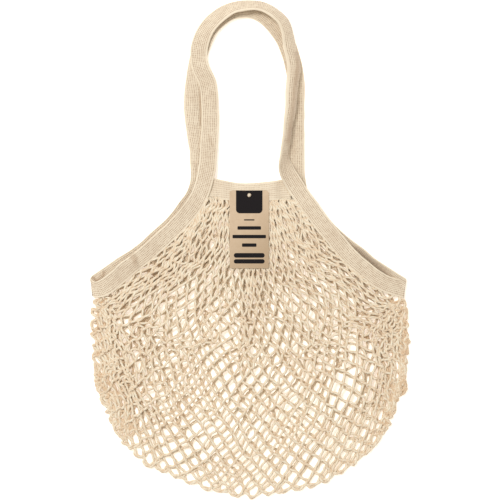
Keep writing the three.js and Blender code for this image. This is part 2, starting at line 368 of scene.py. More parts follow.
def drifting(points, wave, seed):
    """A smooth random value from about -1 to 1 for each point, over waves of that length."""
    rng = np.random.default_rng(seed)
    total = np.zeros(len(points))
    for turn in rng.uniform(0, 2 * math.pi, 7):
        pace = 2 * math.pi / (wave * rng.uniform(0.6, 1.6))
        along = points[:, 0] * math.cos(turn) + points[:, 1] * math.sin(turn)
        total += np.sin(along * pace + rng.uniform(0, 2 * math.pi))
    return total / 3


# ---- the tape's route ----------------------------------------------------------------


def tape_stations():
    """Middle, outward direction and arch of the tape at each of its stations."""
    middles = []
    outwards = []
    arches = []

    def add_fold(place):
        middles.append((*place, FOLD_MIDDLE))
        outwards.append((math.copysign(FOLD_LEAN, place[0]), FOLD_REACH, 0))
        arches.append(0)

    def add_stretch(stretch, side, first, last):
        line = [first, *stretch, last]
        for before, (x, y, lift, lean, arch), after in zip(line, stretch, line[2:]):
            flat = unit(np.array([before[1] - after[1], after[0] - before[0]], float))
            turn = math.radians(lean)
            rest = front_tape_lift(x, y) if lift is None else lift
            height = rest + abs(math.sin(turn)) * HALF_TAPE + math.cos(turn) * TAPE_MIDDLE
            middles.append((x, y, height))
            outwards.append((*(flat * side * math.cos(turn)), -math.sin(turn)))
            arches.append(arch)

    add_fold(LEFT_FOLD)
    add_stretch(FRONT_TAPE, 1, LEFT_FOLD, RIGHT_FOLD)
    add_fold(RIGHT_FOLD)
    add_stretch(BACK_TAPE, -1, RIGHT_FOLD, LEFT_FOLD)
    return np.array(middles), np.array(outwards), np.array(arches, float)[:, None]


TAPE_MIDDLES, TAPE_OUTWARDS, TAPE_ARCHES = tape_stations()


def tape_frame(where):
    """Middle, outward, face and arch of the tape at places that count its stations."""
    middle = smooth_line(TAPE_MIDDLES, where)
    middle[:, 2] = np.maximum(middle[:, 2], TAPE_MIDDLE)
    step = 0.02
    ahead = smooth_line(TAPE_MIDDLES, where + step)
    tangent = unit(ahead - smooth_line(TAPE_MIDDLES, where - step))
    outward = smooth_line(TAPE_OUTWARDS, where, centripetal=False)
    reach = np.linalg.norm(TAPE_OUTWARDS, axis=1)[:, None]
    outward = unit(outward) * smooth_line(reach, where, centripetal=False)
    face = unit(np.cross(tangent, outward))
    arch = smooth_line(TAPE_ARCHES, where, centripetal=False)
    return middle, outward, face, arch


def even_tape(count):
    """Station numbers at equal steps along the ring, and the ring's length."""
    fine = np.linspace(0, len(TAPE_MIDDLES), 4001)
    line = smooth_line(TAPE_MIDDLES, fine)
    run = np.concatenate([[0], np.cumsum(np.linalg.norm(np.diff(line, axis=0), axis=1))])
    return np.interp(np.linspace(0, run[-1], count + 1), run, fine), run[-1]


def inner_edge(first, last, cover):
    """A line between two stations that the tape's inner edge covers by so much."""
    middle, outward, _, _ = tape_frame(np.linspace(first, last, 41))
    return middle[:, :2] - outward[:, :2] * HALF_TAPE + unit(outward[:, :2]) * cover


def shoulder_lines(side, cover):
    """Lines up the left and the right shoulder, which the tape's inner edge covers by so much."""
    right_corner = len(FRONT_TAPE)
    left_corner = len(TAPE_MIDDLES) - 1
    if side == "front":
        left = inner_edge(1, SHOULDER_STATIONS, cover)
        right = inner_edge(right_corner, right_corner + 1 - SHOULDER_STATIONS, cover)
    else:
        left = inner_edge(left_corner, left_corner + 1 - SHOULDER_STATIONS, cover)
        right = inner_edge(right_corner + 2, right_corner + 1 + SHOULDER_STATIONS, cover)
    return [line[line[:, 1] < BAND_BOTTOM + cover] for line in (left, right)]


# ---- meshes --------------------------------------------------------------------------


def finish_piece(name, mesh, material, node):
    """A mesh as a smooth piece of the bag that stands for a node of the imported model."""
    mesh.polygons.foreach_set("use_smooth", np.ones(len(mesh.polygons), bool))
    mesh.materials.clear()
    mesh.materials.append(material)
    piece = bpy.data.objects.new(name, mesh)
    bpy.context.scene.collection.objects.link(piece)
    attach(piece, "root")
    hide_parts(node)
    return piece


def bent_grid(around, along, place, size):
    """A bmesh grid bent by place(u, v), where u and v run from 0 to 1.

    Its UV map is in metres, by the two lists of distances at even steps of u and of v.
    """
    grid = bmesh.new()
    uv_map = grid.loops.layers.uv.new("UVMap")
    bmesh.ops.create_grid(grid, x_segments=around, y_segments=along, size=0.5, calc_uvs=True)
    flat = np.array([vert.co[:2] for vert in grid.verts]) + 0.5
    for vert, place_now in zip(grid.verts, to_row(place(flat[:, 0], flat[:, 1]))):
        vert.co = place_now
    loops = [loop for face in grid.faces for loop in face.loops]
    shares = np.array([loop[uv_map].uv for loop in loops])
    metres = [
        np.interp(share, np.linspace(0, 1, len(distances)), distances)
        for share, distances in zip(shares.T, size)
    ]
    for loop, place_now in zip(loops, np.stack(metres, axis=1)):
        loop[uv_map].uv = place_now
    return grid


def as_mesh(grid, name):
    mesh = bpy.data.meshes.new(name)
    grid.to_mesh(mesh)
    grid.free()
    return mesh


def close_and_convert(grid, name):
    """The bmesh as a mesh, with its seams merged, its open ends filled and faces outwards."""
    bmesh.ops.remove_doubles(grid, verts=grid.verts, dist=1e-6)
    open_edges = [edge for edge in grid.edges if edge.is_boundary]
    bmesh.ops.holes_fill(grid, edges=open_edges, sides=0)
    bmesh.ops.recalc_face_normals(grid, faces=grid.faces)
    return as_mesh(grid, name)


# ---- materials -----------------------------------------------------------------------


class Shader:
    """A material's node tree, with short ways to add nodes and join them."""

    def __init__(self, name):
        self.material = bpy.data.materials.new(name)
        self.material.use_nodes = True
        self.tree = self.material.node_tree
        self.surface = self.tree.nodes["Principled BSDF"]

    def add(self, kind, *values, **settings):
        """A node with its settings, and its inputs in order from numbers or sockets."""
        node = self.tree.nodes.new(kind)
        for key, value in settings.items():
            setattr(node, key, value)
        for socket, value in zip([s for s in node.inputs if s.enabled], values):
            self.feed(socket, value)
        return node.outputs[0]

    def feed(self, socket, value):
        if isinstance(value, bpy.types.NodeSocket):
            self.tree.links.new(value, socket)
        elif value is not None:
            socket.default_value = value

    def math(self, operation, *values):
        return self.add("ShaderNodeMath", *values, operation=operation)

    def vector(self, operation, *values):
        node = self.add("ShaderNodeVectorMath", *values, operation=operation).node
        return node.outputs["Value" if operation == "LENGTH" else "Vector"]

    def attribute(self, name):
        return self.add("ShaderNodeAttribute", attribute_name=name).node.outputs["Fac"]

    def coordinates(self, output):
        return self.add("ShaderNodeTexCoord").node.outputs[output]

    def parts(self, vector):
        return self.add("ShaderNodeSeparateXYZ", vector).node.outputs

    def noise(self, coordinates, scale, detail=3.0, roughness=0.55):
        node = self.tree.nodes.new("ShaderNodeTexNoise")
        self.feed(node.inputs["Vector"], coordinates)
        self.feed(node.inputs["Scale"], scale)
        self.feed(node.inputs["Detail"], detail)
        self.feed(node.inputs["Roughness"], roughness)
        return node.outputs["Fac"]

    def span(self, value, low, high, out_low=0.0, out_high=1.0):
        """The value as it runs from low to high, eased and kept between the two outputs."""
        node = self.tree.nodes.new("ShaderNodeMapRange")
        node.interpolation_type = "SMOOTHSTEP"
        names = ("Value", "From Min", "From Max", "To Min", "To Max")
        for name, given in zip(names, (value, low, high, out_low, out_high)):
            self.feed(node.inputs[name], given)
        return node.outputs["Result"]

    def mix(self, share, first, second):
        node = self.tree.nodes.new("ShaderNodeMix")
        node.data_type = "RGBA"
        for name, given in (("Factor_Float", share), ("A_Color", first), ("B_Color", second)):
            socket = next(s for s in node.inputs if s.identifier == name)
            self.feed(socket, (*given, 1) if isinstance(given, tuple) else given)
        return next(s for s in node.outputs if s.identifier == "Result_Color")

    def wave(self, value, pitch):
        """From 0 in the hollows to 1 on the crests of waves of that pitch."""
        turns = self.math("MULTIPLY", value, 2 * math.pi / pitch)
        return self.math("MULTIPLY_ADD", self.math("COSINE", turns), 0.5, 0.5)

    def bump(self, height, distance, strength):
        node = self.tree.nodes.new("ShaderNodeBump")
        self.feed(node.inputs["Height"], height)
        self.feed(node.inputs["Distance"], distance)
        self.feed(node.inputs["Strength"], strength)
        self.feed(self.surface.inputs["Normal"], node.outputs["Normal"])

    def finish(self, colour_socket, roughness, sheen=0.0):
        self.feed(self.surface.inputs["Base Color"], colour_socket)
        self.feed(self.surface.inputs["Roughness"], roughness)
        self.feed(self.surface.inputs["Sheen Weight"], sheen)
        self.feed(self.surface.inputs["Sheen Roughness"], 0.5)
        self.feed(self.surface.inputs["Specular IOR Level"], 0.25)
        return self.material


def plain(values):
    return tuple(values[:3])


YARN_FUZZ = (0.93, 0.84, 0.70)
TAPE_FUZZ = (0.92, 0.84, 0.71)
CARD_CLOUD = (0.50, 0.36, 0.23)
# the card's painted shade towards its lower right, away from the light
CARD_PAINTED_SHADE = (0.40, 0.29, 0.18)
CARD_PALE_FLECK = (0.74, 0.61, 0.455)
CARD_DARK_FLECK = (0.30, 0.19, 0.11)


def yarn_material(net):
    """Two-ply cotton yarn: twisted plies and loose fibres, with painted shade between the plies, at
    the joints and deep in the bunched net.
    """
    shader = Shader("cotton_yarn")
    around, along, _ = shader.parts(shader.coordinates("UV"))
    twist_pitch = 2.4 * net.string
    turns = shader.math("MULTIPLY", around, 2)
    twist = shader.math("ADD", shader.math("MULTIPLY", along, 1 / twist_pitch), turns)
    plies = shader.wave(twist, 1.0)
    place = shader.coordinates("Object")
    fibres = shader.noise(place, 2600, 4)
    patches = shader.noise(place, 38, 3)
    fuzz = shader.noise(place, 700, 2)
    patch_and_shade = plain(net.patch_and_shade)
    tone = shader.mix(shader.span(patches, 0.35, 0.68, 0.0, 0.20), plain(net.yarn), patch_and_shade)
    # painted shade in the grooves between the plies
    tone = shader.mix(shader.span(plies, 0.5, 0.0, 0.0, 0.5), tone, patch_and_shade)
    tone = shader.mix(shader.span(fuzz, 0.62, 0.80, 0.0, 0.30), tone, YARN_FUZZ)
    # painted shade where the strings cross at the joints
    joint = shader.attribute("joint")
    tone = shader.mix(shader.math("MULTIPLY", joint, 0.4), tone, patch_and_shade)
    # painted shade on back strings that lie deep in the bunched net
    deep_shade = shader.attribute("deep_shade")
    tone = shader.mix(shader.math("MULTIPLY", deep_shade, 0.45), tone, plain(net.deep))
    height = shader.math("MULTIPLY_ADD", fibres, 0.45, plies)
    shader.bump(height, 0.0003, 0.8)
    return shader.finish(tone, 0.95, 0.25)


def knit_material(tape):
    """Rib-knitted cotton tape: ribs along it, a stitch every step, smooth rolled edges, with
    painted shade in the grooves, in the pinholes and along creases.
    """
    shader = Shader("knitted_cotton")
    flat = shader.coordinates("UV")
    around, along, _ = shader.parts(flat)
    place = shader.coordinates("Object")
    sway = shader.math("MULTIPLY_ADD", shader.noise(place, 150, 2), 0.0016, -0.0008)
    rib = shader.wave(shader.math("ADD", around, sway), tape.rib)
    stitch = shader.wave(shader.math("ADD", along, sway), tape.stitch)
    streaks = shader.noise(shader.vector("MULTIPLY", flat, (1, 0.05, 1)), 900, 2)
    fibres = shader.noise(place, 2400, 4)
    patches = shader.noise(place, 30, 3)
    uneven = shader.noise(place, 260, 2)
    face = shader.attribute("face")
    between = shader.math("SUBTRACT", 1.0, rib)
    pinhole = shader.math("MULTIPLY", shader.math("SUBTRACT", 1.0, stitch), between)
    depth = shader.math("MULTIPLY", shader.span(uneven, 0.35, 0.65, 0.45, 1.0), face)
    patch_and_shade = plain(tape.patch_and_shade)
    tone = shader.mix(shader.span(patches, 0.35, 0.7, 0.0, 0.2), plain(tape.cotton), patch_and_shade)
    # painted shade in the grooves between the ribs
    groove_shade = shader.math("MULTIPLY", shader.span(between, 0.35, 1.0, 0.0, 0.42), depth)
    tone = shader.mix(groove_shade, tone, patch_and_shade)
    # painted shade in the pinholes between the stitches
    hole = shader.math("MULTIPLY", shader.span(pinhole, 0.08, 0.6), depth)
    tone = shader.mix(hole, tone, patch_and_shade)
    streak = shader.math("MULTIPLY", shader.span(streaks, 0.50, 0.72, 0.0, 0.3), face)
    tone = shader.mix(streak, tone, patch_and_shade)
    tone = shader.mix(shader.span(fibres, 0.6, 0.8, 0.0, 0.18), tone, TAPE_FUZZ)
    # painted shade along creases, in hollows and on faces turned from the light
    crease_shade = shader.attribute("crease_shade")
    tone = shader.mix(crease_shade, tone, patch_and_shade)
    knit = shader.math("MULTIPLY_ADD", hole, -1.0, shader.math("MULTIPLY", rib, 0.5))
    shader.bump(shader.math("MULTIPLY_ADD", fibres, 0.35, knit), 0.0004, 0.7)
    return shader.finish(tone, 0.95, 0.2)


def rounded_bar(shader, place, centre, size, radius):
    """1 inside a bar with rounded corners, whose middle and size are in metres."""
    away = shader.vector("ABSOLUTE", shader.vector("SUBTRACT", place, (*centre, 0)))
    half = (size[0] / 2 - radius, size[1] / 2 - radius, 0)
    beyond = shader.vector("MAXIMUM", shader.vector("SUBTRACT", away, half), (0, 0, 0))
    flat = shader.vector("LENGTH", shader.vector("MULTIPLY", beyond, (1, 1, 0)))
    edge = 0.00012
    return shader.span(flat, radius + edge, radius - edge)


def card_material(tag):
    """Kraft card with flecks of fibre, painted shade that darkens it towards its lower right, and
    plain fields of dark print on its upper face.
    """
    shader = Shader("kraft_card")
    place = shader.coordinates("Object")
    flecks = shader.noise(shader.vector("MULTIPLY", place, (1.0, 0.35, 1.0)), 2100, 5, 0.7)
    clouds = shader.noise(place, 160, 4)
    x, y, _ = shader.parts(place)
    tone = shader.mix(shader.span(clouds, 0.3, 0.7, 0.0, 0.3), plain(tag.card), CARD_CLOUD)
    # painted shade: the card darkens towards its lower right, away from the light
    left, top = to_row((-25, 75, 0))[:2]
    from_top = shader.math("MULTIPLY_ADD", y, -1.0, top)
    from_left = shader.math("MULTIPLY_ADD", x, 0.9, -0.9 * left)
    slope = shader.math("ADD", from_top, from_left)
    tone = shader.mix(shader.span(slope, 0.03, 0.14, 0.0, 0.75), tone, CARD_PAINTED_SHADE)
    tone = shader.mix(shader.span(flecks, 0.56, 0.72, 0.0, 0.4), tone, CARD_PALE_FLECK)
    tone = shader.mix(shader.span(flecks, 0.42, 0.30, 0.0, 0.35), tone, CARD_DARK_FLECK)
    ink = None
    for across, up, width, height, radius in PRINTED_BARS:
        centre = to_row((across, up, 0))[:2]
        bar = rounded_bar(shader, place, centre, (width * MM, height * MM), radius * MM)
        ink = bar if ink is None else shader.math("MAXIMUM", ink, bar)
    upper = shader.attribute("upper")
    ink = shader.math("MULTIPLY", ink, shader.span(upper, 0.98, 0.99))
    faded = shader.math("MULTIPLY", ink, shader.span(flecks, 0.62, 0.85, 1.0, 0.88))
    tone = shader.mix(faded, tone, plain(tag.print_colour))
    shader.bump(shader.math("ADD", flecks, clouds), 0.00012, 0.6)
    return shader.finish(tone, 0.8)


# Dark print on the card, as (x, y, width, height, corner radius)
PRINTED_BARS = [
    (-1.0, 63.2, 33.6, 34.8, 5.0),  # field that runs off the card's upper edge
    (-1.0, 37.5, 13.5, 1.6, 0.8),
    (-1.0, 27.3, 29.8, 4.4, 1.0),
    (-1.0, 16.4, 42.4, 4.4, 1.0),
    (-1.0, 5.6, 18.4, 4.4, 1.0),
    (-1.0, -7.4, 39.0, 5.9, 2.9),
    (-1.0, -15.0, 39.0, 5.5, 2.7),
]


# ---- net of strings ------------------------------------------------------------------


LINE_STEPS = 400  # along the net's rim and its outermost columns
ROWS_OVER = 4  # rows past the band, whose strings are cut off under it
ROOM_OVER = 330  # how far up those rows go, for each share of a column
RELAX_ROUNDS = 40
LEAST_BAR = 4.0  # between two joints on a string
LEAST_CELL = 2.4  # between two joints side by side
RIM_HEIGHT = 2.8  # of the middle of the strings that are folded round the rim
OVER_UNDER = 0.7  # how far a string's middle lies above or below a joint
RIM_OFFSET = 0.8  # how far the two strings of a joint on the rim lie outside and inside it
SLACK_SHARE = 0.24  # how far a bar bows out, as a share of its spare string
JOINT_SWELL_AND_SHADE_REACH = 2.4  # how far along a string a joint thickens it and darkens it with painted shade
FLOOR_CLEAR = 0.64  # least height of a string's middle, as a share of its thickness
UNDER_TAPE = 8.7  # greatest height of a string's middle under the tape
UNDER_TAG = 9.2  # and under the tag


class Lattice:
    """The joints of one layer of the net, in a diamond lattice between its rim and the mouth.

    Joint (column, row) exists where column + row is even, and row 0 lies on the rim. The
    columns are gathered under the band and fan out to the rim. The outermost two follow
    the shoulders and then the bag's sides, where the front and the back are one net.
    """

    def __init__(self, net, side, lift, offset, seed):
        self.net = net
        self.lift = lift
        self.offset = np.array(offset)
        self.front = side == "front"
        self.last = 2 * net.columns
        self.fold_rows = round(net.rows * CORNER_SHARE)
        where = np.linspace(0, len(RIM) - 1, LINE_STEPS)
        fine = smooth_line(RIM, where, closed=False, centripetal=False)
        self.rim = even_steps(fine, LINE_STEPS)
        self.rim_along = unit(np.gradient(self.rim, axis=0))
        left, right = shoulder_lines(side, 1.0)
        first, last = (round(LINE_STEPS * RIM_SHARES[1][end]) for end in (0, -1))
        self.edges = [
            self.outer_column(self.rim[:first][::-1], LEFT_FOLD, left),
            self.outer_column(self.rim[last:], RIGHT_FOLD, right),
        ]
        left, right = shoulder_lines(side, 3.5)
        self.cover = np.vstack([left, right[::-1]])
        self.number = {}
        self.places = []
        self.spread_joints()
        self.relax(seed)

    @staticmethod
    def outer_column(fold, corner, shoulder):
        """Up the side of the bag to the mouth's corner and along the shoulder, in even steps."""
        lower = round(LINE_STEPS * CORNER_SHARE)
        under_corner = np.array(corner) * (0.985, 1) + (0, -8)
        fold = np.vstack([fold, under_corner])
        shoulder = np.vstack([under_corner, shoulder[shoulder[:, 1] > under_corner[1]]])
        upper = even_steps(shoulder, LINE_STEPS - lower)
        return np.vstack([even_steps(fold, lower), upper[1:]])

    @staticmethod
    def along(line, share):
        steps = np.linspace(0, 1, len(line))
        return np.array([np.interp(share, steps, axis) for axis in line.T])

    def foot(self, column):
        """Where a column meets the rim, and the rim's direction there."""
        share = np.interp(column / self.last, RIM_SHARES[0], RIM_SHARES[1])
        return self.along(self.rim, share), unit(self.along(self.rim_along, share))

    def spread_joints(self):
        """Rows at even shares of every column, with a short first row and a few past the band."""
        pinned = []
        calm = []
        rng = np.random.default_rng(self.net.seed)
        for column in range(self.last + 1):
            across = column / self.last
            foot, along = self.foot(column)
            low = self.edges[0][0] * (1 - across) + self.edges[1][0] * across
            outward = np.array([along[1], -along[0]])
            nearest_side = min(column, self.last - column)
            for row in range(column % 2, self.net.rows + ROWS_OVER, 2):
                short = self.net.short_row
                up = (row - short) / (self.net.rows - short) if row else 0
                left, right = (self.along(edge, min(up, 1)) for edge in self.edges)
                place = left * (1 - across) + right * across + (foot - low) * max(1 - up, 0)
                place[1] += max(up - 1, 0) * ROOM_OVER
                if row == 0:
                    place += outward * RIM_REACH + along * rng.normal(0, 1.2)
                if row == 0 or nearest_side == 0:
                    place += rng.normal(0, 0.8, 2)
                if row and nearest_side == 0 and row <= self.fold_rows:
                    place -= outward * 1.5
                self.number[column, row] = len(self.places)
                self.places.append(place)
                pinned.append(row == 0 or nearest_side == 0 or up > 1)
                calm.append(min(row / 3, nearest_side / 5, 1) * (1 - 0.45 * min(up, 1)))
        self.places = np.array(self.places)
        self.pinned = np.array(pinned)
        self.calm = np.array(calm)

    def relax(self, seed):
        """Crumples the lattice, then lets no bar be longer than its string."""
        number = self.number
        bars = [
            (number[column, row], number[column + side, row + 1])
            for column, row in number
            for side in (-1, 1)
            if (column + side, row + 1) in number
        ]
        pairs = [
            (number[column, row], number[column + 2, row])
            for column, row in number
            if (column + 2, row) in number
        ]
        crumple = self.net.crumple / MM
        start = self.places.copy()
        self.places += self.offset * self.calm[:, None]
        for axis in (0, 1):
            push = drifting(start, 110, seed + axis) + drifting(start, 36, seed + 5 + axis) * 0.6
            self.places[:, axis] += push * crumple * self.calm
        for start_point, end_point, reach, pull in GATHERS:
            self.gather(np.array(start_point), np.array(end_point), reach, pull)
        rng = np.random.default_rng(seed)
        self.places += rng.normal(0, crumple * 0.34, self.places.shape) * self.calm[:, None]
        bars = np.array(bars)
        pairs = np.array(pairs)
        for _ in range(RELAX_ROUNDS):
            self.keep_between(bars, LEAST_BAR, self.net.bar / MM)
            self.keep_between(pairs, LEAST_CELL, math.inf)

    def gather(self, start, end, reach, pull):
        """Draws the joints near a line in towards it, as where the net is bunched."""
        along = end - start
        share = np.clip(((self.places - start) @ along) / (along @ along), 0, 1)[:, None]
        away = start + share * along - self.places
        weight = np.exp(-np.sum(away * away, axis=1, keepdims=True) / reach**2) * pull
        self.places += away * weight * ~self.pinned[:, None]

    def keep_between(self, links, least, most):
        """Moves the two joints of each link towards a length between least and most."""
        first, second = links.T
        gap = self.places[second] - self.places[first]
        size = np.linalg.norm(gap, axis=1)
        wrong = size - np.clip(size, least, most)
        move = unit(gap) * wrong[:, None] * 0.5
        total = np.zeros_like(self.places)
        np.add.at(total, first, move)
        np.add.at(total, second, -move)
        self.places += total * 0.55 * ~self.pinned[:, None]

    def joint(self, column, row):
        return self.places[self.number[column, row]]

    def upward(self, column, row):
        """The way up its column from a joint."""
        here = self.number[column, row]
        above = self.number.get((column, row + 2), here)
        below = self.number.get((column, row - 2), here)
        return unit(self.places[above] - self.places[below])

    def at_fold(self, column, row):
        return row == 0 or (column in (0, self.last) and row <= self.fold_rows)

    def past_edge(self, points):
        """How far each point has passed the line under the tape's edge, negative short of it."""
        nearest, side = past_line(points, self.cover)
        return nearest * side


# Share of the columns from the left, and the share of the rim where they meet it
RIM_SHARES = ((0, 0.24, 0.79, 1), (0.13, 0.266, 0.766, 0.872))
# Share of the outermost columns that lies below the mouth's corners
CORNER_SHARE = 0.5
# Where the net is bunched, as (from, to, how far it reaches, how strongly)
GATHERS = [
    ((-184, -80), (-150, -185), 24, 0.55),
    ((-150, -185), (-112, -215), 18, 0.5),
    ((178, -75), (160, -170), 24, 0.5),
    ((-60, 45), (-120, -40), 16, 0.4),
    ((0, 0), (-10, -90), 16, 0.4),
    ((60, 10), (110, -90), 14, 0.3),
    ((4, -70), (-4, -165), 34, 0.28),
]


def climb(layer, other, column, way):
    """Joints up one string from the rim to the mouth, as (layer, column, row, way).

    It turns back at the shoulders, and passes round to the other layer at the bag's sides.
    """
    run = []
    column += way
    while (column, len(run) + 1) in layer.number:
        row = len(run) + 1
        run.append((layer, column, row, way))
        if column in (0, layer.last):
            way = -way
            if layer.at_fold(column, row):
                layer, other = other, layer
        column += way
    return run


def net_strings(front, back):
    """Every string of the net, as its joints from the mouth down, round the rim and up again."""
    for column in range(0, front.last + 1, 2):
        ways = [(-1, 1), (1, -1)]
        if column == 0:
            ways = [(1, 1)]
        elif column == front.last:
            ways = [(-1, -1)]
        for front_way, back_way in ways:
            down = climb(front, back, column, front_way)[::-1]
            up = climb(back, front, column, back_way)
            yield down + [(front, column, 0, front_way)] + up


def string_line(run, net, rng):
    """Points along one string through its joints, with how near a joint and how thick it is."""
    flat = np.array([layer.joint(column, row) for layer, column, row, _ in run])
    over = np.array([
        1 if ((column + 3 * row) // 2 + (way > 0)) % 2 else -1 for _, column, row, way in run
    ])
    heights = np.array([layer.lift(*place) for (layer, _, _, _), place in zip(run, flat)])
    folded = np.array([layer.at_fold(column, row) for layer, column, row, _ in run])
    heights[folded] = RIM_HEIGHT
    for index, (layer, column, row, way) in enumerate(run):
        if row == 0:
            _, along = layer.foot(column)
            flat[index] += np.array([along[1], -along[0]]) * way * RIM_OFFSET
    points = np.column_stack([flat, heights + over * OVER_UNDER])

    around = np.vstack([2 * points[:1] - points[1:2], points, 2 * points[-1:] - points[-2:-1]])
    course = unit(around[2:] - around[:-2])
    upward = np.array([[*layer.upward(column, row), 0] for layer, column, row, _ in run])
    upward *= np.sign(np.sum(upward * course, axis=1, keepdims=True))
    heading = unit(course * 0.6 + upward * 0.4) * 0.75
    heading[folded] *= 1.5
    for index, (layer, column, row, way) in enumerate(run):
        if row == 0:
            heading[index] = (*(layer.foot(column)[1] * -way * 1.1), 0)

    samples = net.samples
    share = (np.arange(samples) / samples)[None, :, None]
    start = points[:-1, None]
    end = points[1:, None]
    chord = end - start
    size = np.linalg.norm(chord, axis=2, keepdims=True)
    line = hermite(start, end, heading[:-1, None] * size, heading[1:, None] * size, share)
    slack = np.sqrt(np.maximum((net.bar / MM) ** 2 - size**2, 0)) * SLACK_SHARE
    turn = rng.uniform(-math.pi, math.pi, (len(run) - 1, 1, 1))
    level = 0 * chord[..., :1]
    sideways = unit(np.concatenate([-chord[..., 1:2], chord[..., :1], level], axis=2))
    rise = np.array([0, 0, 1.0]) * np.abs(np.sin(turn)) * 0.4
    bend = np.sin(math.pi * share) + 0.5 * np.sin(2 * math.pi * share) * np.sin(3 * turn)
    line = line + (sideways * np.cos(turn) + rise) * slack * bend
    nearness = np.exp(-(np.minimum(share, 1 - share) * size / JOINT_SWELL_AND_SHADE_REACH) ** 2)[..., 0]
    line = np.vstack([line.reshape(-1, 3), points[-1:]])
    for axis in range(3):
        wander = (0.45, 0.45, 0.25)[axis]
        line[:, axis] += drifting(line[:, :2], 8, int(rng.integers(1e6))) * wander
    nearness = np.append(nearness.reshape(-1), 1.0)

    front = np.repeat([layer.front for layer, _, _, _ in run[:-1]], samples)
    front = np.append(front, run[-1][0].front)
    past = np.zeros(len(line))
    for layer in {layer for layer, _, _, _ in run}:
        here = front == layer.front
        past[here] = layer.past_edge(line[here, :2])
    kept = np.flatnonzero(past < 0)
    keep = slice(max(kept[0] - 1, 0), kept[-1] + 2)
    line, nearness, past = line[keep], nearness[keep], past[keep]
    tuck = np.clip((past + 6) / 6, 0, 1)
    line[:, 2] -= tuck * np.maximum(line[:, 2] - UNDER_TAPE, 0)
    line[:, 2] = np.minimum(line[:, 2], tag_ceiling(line))
    line[:, 2] = np.maximum(line[:, 2], net.string / MM * FLOOR_CLEAR)
    loose = np.clip(-line[:, 1] / 200, 0, 1)
    return line, nearness * (1 - tuck), 1 - 0.3 * tuck + 0.1 * loose, front[keep]


def tag_ceiling(points):
    """The greatest height of a string's middle at each point, which is low under the tag."""
    apart = np.abs(points[:, :2] - TAG_CENTRE) - np.array(TAG_HALF)
    clear = np.clip((np.max(apart, axis=1) - 1) / 8, 0, 1)
    return UNDER_TAG + 6 * clear


def strings_mesh(name, strings, net, rng):
    """Tubes along the strings, with a UV map in metres, and how near a joint and how deep, for the
    yarn's painted shade.
    """
    sides = 6
    curve = bpy.data.curves.new(name, "CURVE")
    curve.dimensions = "3D"
    curve.bevel_depth = net.string / 2
    curve.bevel_resolution = (sides - 4) // 2
    curve.use_fill_caps = False
    for line, nearness, thickness, _ in strings:
        spline = curve.splines.new("POLY")
        spline.points.add(len(line) - 1)
        places = np.column_stack([to_row(line), np.ones(len(line))])
        spline.points.foreach_set("co", places.ravel())
        radius = (1 + 0.12 * nearness + rng.normal(0, 0.04, len(line))) * thickness
        spline.points.foreach_set("radius", radius)
    holder = bpy.data.objects.new(name, curve)
    mesh = bpy.data.meshes.new_from_object(holder)
    bpy.data.objects.remove(holder)
    bpy.data.curves.remove(curve)

    # The two attributes below carry painted shade for the yarn: near the joints, and on back
    # strings deep in the bunched net.
    for attribute, column in (("joint", 1), ("deep_shade", 3)):
        values = np.repeat(np.concatenate([string[column] for string in strings]), sides)
        if len(values) != len(mesh.vertices):
            raise RuntimeError("the strings' tubes have another number of sides than expected")
        mesh.attributes.new(attribute, "FLOAT", "POINT").data.foreach_set("value", values)

    lengths = [np.linalg.norm(np.diff(string[0], axis=0), axis=1).sum() * MM for string in strings]
    loops = [(len(string[0]) - 1) * sides * 4 for string in strings]
    uv_map = mesh.uv_layers[0].uv
    places = np.zeros(len(uv_map) * 2)
    uv_map.foreach_get("vector", places)
    places = places.reshape(-1, 2)
    along = places[:, 0] * np.repeat(lengths, loops)
    uv_map.foreach_set("vector", np.column_stack([places[:, 1], along]).ravel())
    return mesh


def shade_deep_strings(strings):
    """Each string with painted shade for how deep it lies: most in the back, where the bag's sides
    are bunched.
    """
    cell = 6
    half = 60
    places = [np.round(string[0][:, :2] / cell).astype(int) + half for string in strings]
    crowd = np.zeros((2 * half, 2 * half))
    for place in places:
        np.add.at(crowd, tuple(place.T), 1)
    for _ in range(2):
        crowd[1:-1, 1:-1] = (
            crowd[1:-1, 1:-1] * 2
            + crowd[:-2, 1:-1]
            + crowd[2:, 1:-1]
            + crowd[1:-1, :-2]
            + crowd[1:-1, 2:]
        ) / 6
    usual = np.median(crowd[crowd > crowd.max() * 0.1])
    for (line, nearness, thickness, front), place in zip(strings, places):
        crowded = np.clip(crowd[tuple(place.T)] / usual - 0.8, 0, 1)
        sideways = 0.3 + 0.7 * np.clip((np.abs(line[:, 0]) - 90) / 60, 0, 1)
        yield line, nearness, thickness, crowded * sideways * ~front


class BAG_OT_net(bpy.types.Operator):
    """Cotton strings of the front and back of the net, folded at the rim"""

    bl_idname = "bag.net"
    bl_label = "Net"

    def execute(self, context):
        net = context.scene.bag_net
        rng = np.random.default_rng(net.seed)
        front = Lattice(net, "front", front_net_lift, (-1.5, 1.0), net.seed)
        back = Lattice(net, "back", back_net_lift, (5.0, -3.5), net.seed + 40)
        strings = list(shade_deep_strings([string_line(run, net, rng) for run in net_strings(front, back)]))
        material = yarn_material(net)
        share = math.ceil(len(strings) / 3)
        for part in range(3):
            name = f"net_strings_{part + 1}"
            mesh = strings_mesh(name, strings[part * share : (part + 1) * share], net, rng)
            finish_piece(name, mesh, material, "net")
        return {"FINISHED"}


# ---- tape and bands ------------------------------------------------------------------


